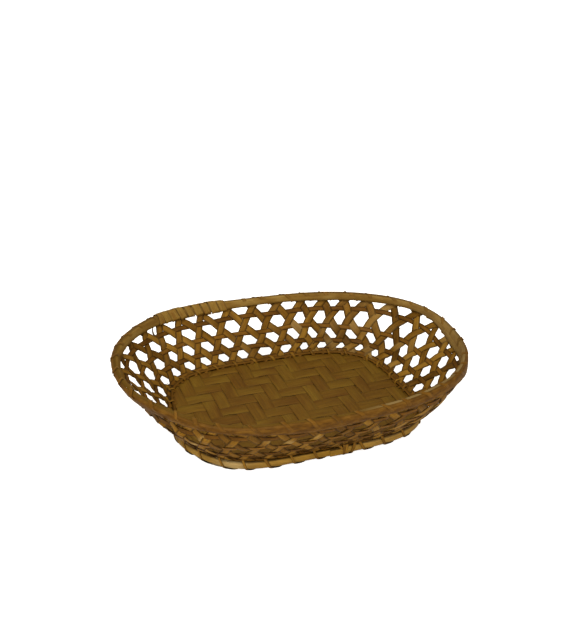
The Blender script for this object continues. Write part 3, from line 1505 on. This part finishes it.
@dataclass
class HandMarks(SubAssembly):
    """Laps, trimmed ends and dry fibres, as this basket has them."""

    tail_count: int = 64
    tail_width: float = 0.0030
    tail_thickness: float = 0.000352
    tail_points: int = 5
    tail_start: float = 0.0014
    tail_lift: float = 0.0003
    tail_arch: float = 0.0011
    tail_spread: float = 0.3
    tail_lengths: tuple[float, float] = (0.0006, 0.003)
    tail_leans: tuple[float, float] = (-0.0015, 0.0015)
    fibre_thickness: float = 0.00022
    fibre_points: int = 14
    fibre_taper: tuple[float, float] = (0.25, 1.15)
    lap_turns: tuple[float, float] = (0.753, 0.7775)
    lap_points: int = 40
    lap_thickness: float = 0.0009
    lap_offset: float = 0.0029
    lap_height_share: float = 0.94

    def fibre(self, spec: Fibre, tone: float) -> bmesh.types.BMesh:
        """Bend one loose end.

        Args:
            spec: its place and size.
            tone: number that sets its tone.

        Returns:
            Its shape.
        """
        form = self.form
        run = np.linspace(0, 1, self.fibre_points)
        angle = math.radians(spec.heading) + math.radians(spec.curl) * run[:-1]
        step = spec.length / self.fibre_points
        along = np.concatenate(([0.0], np.cumsum(np.cos(angle) * step)))
        up = np.concatenate(([0.0], np.cumsum(np.sin(angle) * step)))
        turns = spec.turn - along / form.round_at(spec.height)
        heights = spec.height + up
        return lay_strip(form.on_wall(turns, heights, np.full_like(run, spec.offset)),
                         form.outward(turns, heights), StripProfile(spec.width, self.fibre_thickness),
                         tone, width_shares=np.clip(self.fibre_taper[1] - run, self.fibre_taper[0], 1),
                         wear=np.full_like(run, spec.pale))

    def tail(self, turn: float, length: float, lean: float, tone: float) -> bmesh.types.BMesh:
        """A trimmed end that reaches over the floor's edge.

        Args:
            turn: its place round the basket.
            length: how far it reaches in.
            lean: how far it leans aside.
            tone: number that sets its tone.

        Returns:
            Its shape.
        """
        form = self.form
        run = np.linspace(0, 1, self.tail_points)
        turns = turn + lean * run / form.round_at(form.floor_top)
        level = np.full_like(run, form.floor_top)
        inwards = (self.tail_start + length * run)[:, None]
        centres = form.middle(turns, level) - form.level_outward(turns, level) * inwards
        centres[:, 2] += self.tail_lift + self.tail_arch * (1 - run) ** 2
        return lay_strip(centres, np.tile(UP, (len(run), 1)),
                         StripProfile(self.tail_width, self.tail_thickness), tone)

    def lap(self) -> bmesh.types.BMesh:
        """Outer end of the foot ring, where it laps over its own start.

        Returns:
            Its shape.
        """
        form = self.form
        turns = np.linspace(*self.lap_turns, self.lap_points)
        level = np.full_like(turns, form.foot_top)
        outs = form.level_outward(turns, level)
        centres = form.middle(turns, level) + outs * self.lap_offset
        centres[:, 2] = form.foot_rise + form.foot_ring_height / 2
        profile = StripProfile(form.foot_ring_height * self.lap_height_share, self.lap_thickness)
        return lay_strip(centres, outs, profile, TONES["foot_lap"])

    def build(self) -> None:
        """Make the lap, the trimmed ends and the fibres."""
        self.add("foot_ring_lap", self.lap(), FOOT_SKIN_BAMBOO, Slot.HOOP, "foot_ring_with_outer_splints")
        draw = np.random.default_rng(SEEDS["marks"])
        tails = [self.tail((number + draw.uniform(-self.tail_spread, self.tail_spread)) / self.tail_count,
                           draw.uniform(*self.tail_lengths), draw.uniform(*self.tail_leans),
                           TONES["trimmed_end"] + number) for number in range(self.tail_count)]
        self.add("trimmed_ends", joined(tails), LASH_CANE, Slot.CANE, "base_lash")
        specs = [*LONE_FIBRES, *(spec for tuft in TUFTS for spec in tuft.fibres(draw))]
        fibres = [self.fibre(spec, TONES["fibre"] + number) for number, spec in enumerate(specs)]
        self.add("loose_fibres", joined(fibres), FIBRE_BAMBOO, Slot.SPLINT, "base_lash")


# Light, floor and camera

@dataclass(frozen=True)
class SoftLight:
    """A square soft light that looks at the basket: its place, its side, its power and its colour."""

    name: str
    place: tuple[float, float, float]
    size: float
    watts: float
    colour: str

    def hang(self) -> None:
        """Put the light in the scene."""
        data = bpy.data.lights.new(self.name, "AREA")
        data.size = self.size
        data.energy = self.watts
        data.color = linear(self.colour)[:3]
        light = bpy.data.objects.new(self.name, data)
        light.location = self.place
        light.rotation_euler = (-Vector(self.place)).to_track_quat("-Z", "Y").to_euler()
        bpy.context.scene.collection.objects.link(light)


@dataclass
class Studio:
    """Product-photo set: soft daylight from the upper left, a white sweep, and the photo's camera."""

    azimuth: float = -0.377
    elevation: float = 0.548
    distance: float = 0.7643
    focal_pixels: float = 939.7
    shift_x: float = 8.9
    shift_y: float = 92.2
    roll: float = 0.03
    lens: float = 53.7
    nearest: float = 0.01
    lights: tuple[SoftLight, ...] = (
        SoftLight("key", (-0.5, -0.52, 1.18), 0.6, 13.0, "FFF6E8"),
        SoftLight("fill", (0.9, -0.8, 0.7), 0.8, 3.5, "FFF4E4"),
        SoftLight("front", (-0.35, -0.9, 0.12), 0.2, 3.0, "FFEFD4"),
    )
    backdrop_size: float = 40.0
    backdrop_colour: str = "E8E8E8"
    backdrop_glow: float = 0.85
    foot_cover: tuple[float, float] = (0.0945, 0.0715)
    room_colour: str = "F0E4CC"
    room_strength: float = 0.55

    def add_camera(self) -> None:
        """Stand the camera where the photograph's stood."""
        back = Vector((math.sin(self.azimuth) * math.cos(self.elevation),
                       -math.cos(self.azimuth) * math.cos(self.elevation), math.sin(self.elevation)))
        right = Vector((math.cos(self.azimuth), math.sin(self.azimuth), 0))
        up = back.cross(right)
        across = math.atan(self.shift_x / self.focal_pixels)
        upwards = math.atan(self.shift_y / self.focal_pixels)
        look = (-back * math.cos(across) * math.cos(upwards) - right * math.sin(across)
                + up * math.sin(upwards)).normalized()
        side = look.cross(up).normalized()
        top = side.cross(look)
        turned = side * math.cos(self.roll) + top * math.sin(self.roll)
        top = turned.cross(look)
        camera = bpy.data.objects.new("camera", bpy.data.cameras.new("camera"))
        camera.data.lens = self.lens
        camera.data.clip_start = self.nearest
        camera.matrix_world = Matrix.Translation(back * self.distance) @ Matrix(
            (turned, top, -look)).transposed().to_4x4()
        bpy.context.scene.collection.objects.link(camera)
        bpy.context.scene.camera = camera

    def sweep_material(self) -> bpy.types.Material:
        """White paper that keeps the basket's shadow, glows for the camera and is clear from below.

        Only the paper outside the basket's foot glows, so that no glow shows through the weave.

        Returns:
            The finished material.
        """
        material, tree = blank_material("white_sweep")
        seen = add_node(tree, "ShaderNodeLightPath")
        white = add_node(tree, "ShaderNodeBsdfDiffuse", {}, {"Color": linear(self.backdrop_colour)})
        glow = add_node(tree, "ShaderNodeEmission", {},
                        {"Color": linear("FFFFFF"), "Strength": self.backdrop_glow})
        none = add_node(tree, "ShaderNodeBsdfTransparent", {}, {"Color": linear("000000")})
        place = add_node(tree, "ShaderNodeTexCoord")
        under = add_node(tree, "ShaderNodeVectorMath", {"operation": "MULTIPLY"},
                         {0: place.outputs["Object"],
                          1: (1 / self.foot_cover[0], 1 / self.foot_cover[1], 0.0)})
        square = add_node(tree, "ShaderNodeVectorMath", {"operation": "MULTIPLY"},
                          {0: under.outputs["Vector"], 1: under.outputs["Vector"]})
        reach = add_node(tree, "ShaderNodeVectorMath", {"operation": "LENGTH"},
                         {0: square.outputs["Vector"]})
        outside = add_node(tree, "ShaderNodeMath", {"operation": "GREATER_THAN"},
                           {0: reach.outputs["Value"], 1: 1.0})
        shown = add_node(tree, "ShaderNodeMath", {"operation": "MULTIPLY"},
                         {0: seen.outputs["Is Camera Ray"], 1: outside.outputs["Value"]})
        extra = add_node(tree, "ShaderNodeMixShader", {},
                         {0: shown.outputs["Value"], 1: none.outputs[0], 2: glow.outputs[0]})
        both = add_node(tree, "ShaderNodeAddShader", {}, {0: white.outputs[0], 1: extra.outputs[0]})
        side = add_node(tree, "ShaderNodeNewGeometry")
        clear = add_node(tree, "ShaderNodeBsdfTransparent", {}, {"Color": linear("FFFFFF")})
        one_way = add_node(tree, "ShaderNodeMixShader", {},
                           {0: side.outputs["Backfacing"], 1: both.outputs[0], 2: clear.outputs[0]})
        add_node(tree, "ShaderNodeOutputMaterial", {}, {"Surface": one_way.outputs[0]})
        return material

    def add_floor(self) -> None:
        """Lay the white floor."""
        work = bmesh.new()
        bmesh.ops.create_grid(work, x_segments=1, y_segments=1, size=self.backdrop_size / 2)
        mesh = bpy.data.meshes.new("white_floor")
        work.to_mesh(mesh)
        work.free()
        mesh.materials.append(self.sweep_material())
        floor = bpy.data.objects.new("white_floor", mesh)
        bpy.context.scene.collection.objects.link(floor)

    def add_world(self) -> None:
        """Put a warm pale room round the basket, which the camera sees as white."""
        world = bpy.data.worlds.new("soft_room")
        world.use_nodes = True
        tree = world.node_tree
        tree.nodes.clear()
        seen = add_node(tree, "ShaderNodeLightPath")
        room = add_node(tree, "ShaderNodeBackground", {},
                        {"Color": linear(self.room_colour), "Strength": self.room_strength})
        shown = add_node(tree, "ShaderNodeBackground", {}, {"Color": linear("FFFFFF"), "Strength": 1.0})
        mixed = add_node(tree, "ShaderNodeMixShader", {},
                         {0: seen.outputs["Is Camera Ray"], 1: room.outputs[0], 2: shown.outputs[0]})
        add_node(tree, "ShaderNodeOutputWorld", {}, {"Surface": mixed.outputs[0]})
        bpy.context.scene.world = world

    def build(self) -> None:
        """Set the whole studio up."""
        self.add_camera()
        for light in self.lights:
            light.hang()
        self.add_floor()
        self.add_world()
        bpy.context.scene.view_settings.view_transform = "Standard"


def main() -> None:
    """Build and dress the basket's parts in order, report each piece, and set the studio up."""
    logging.basicConfig(level=logging.INFO, format="%(name)s: %(message)s")
    form = BasketForm()
    for part in (OpenWall(form), TwillFloor(form), Hoops(form), Lashings(form), HandMarks(form)):
        part.build()
        part.dress()
        for piece, finish in part.pieces:
            LOG.info("%s: %d faces of %s", piece.name, len(piece.data.polygons), finish.name)
    Studio().build()


if __name__ == "__main__":
    main()
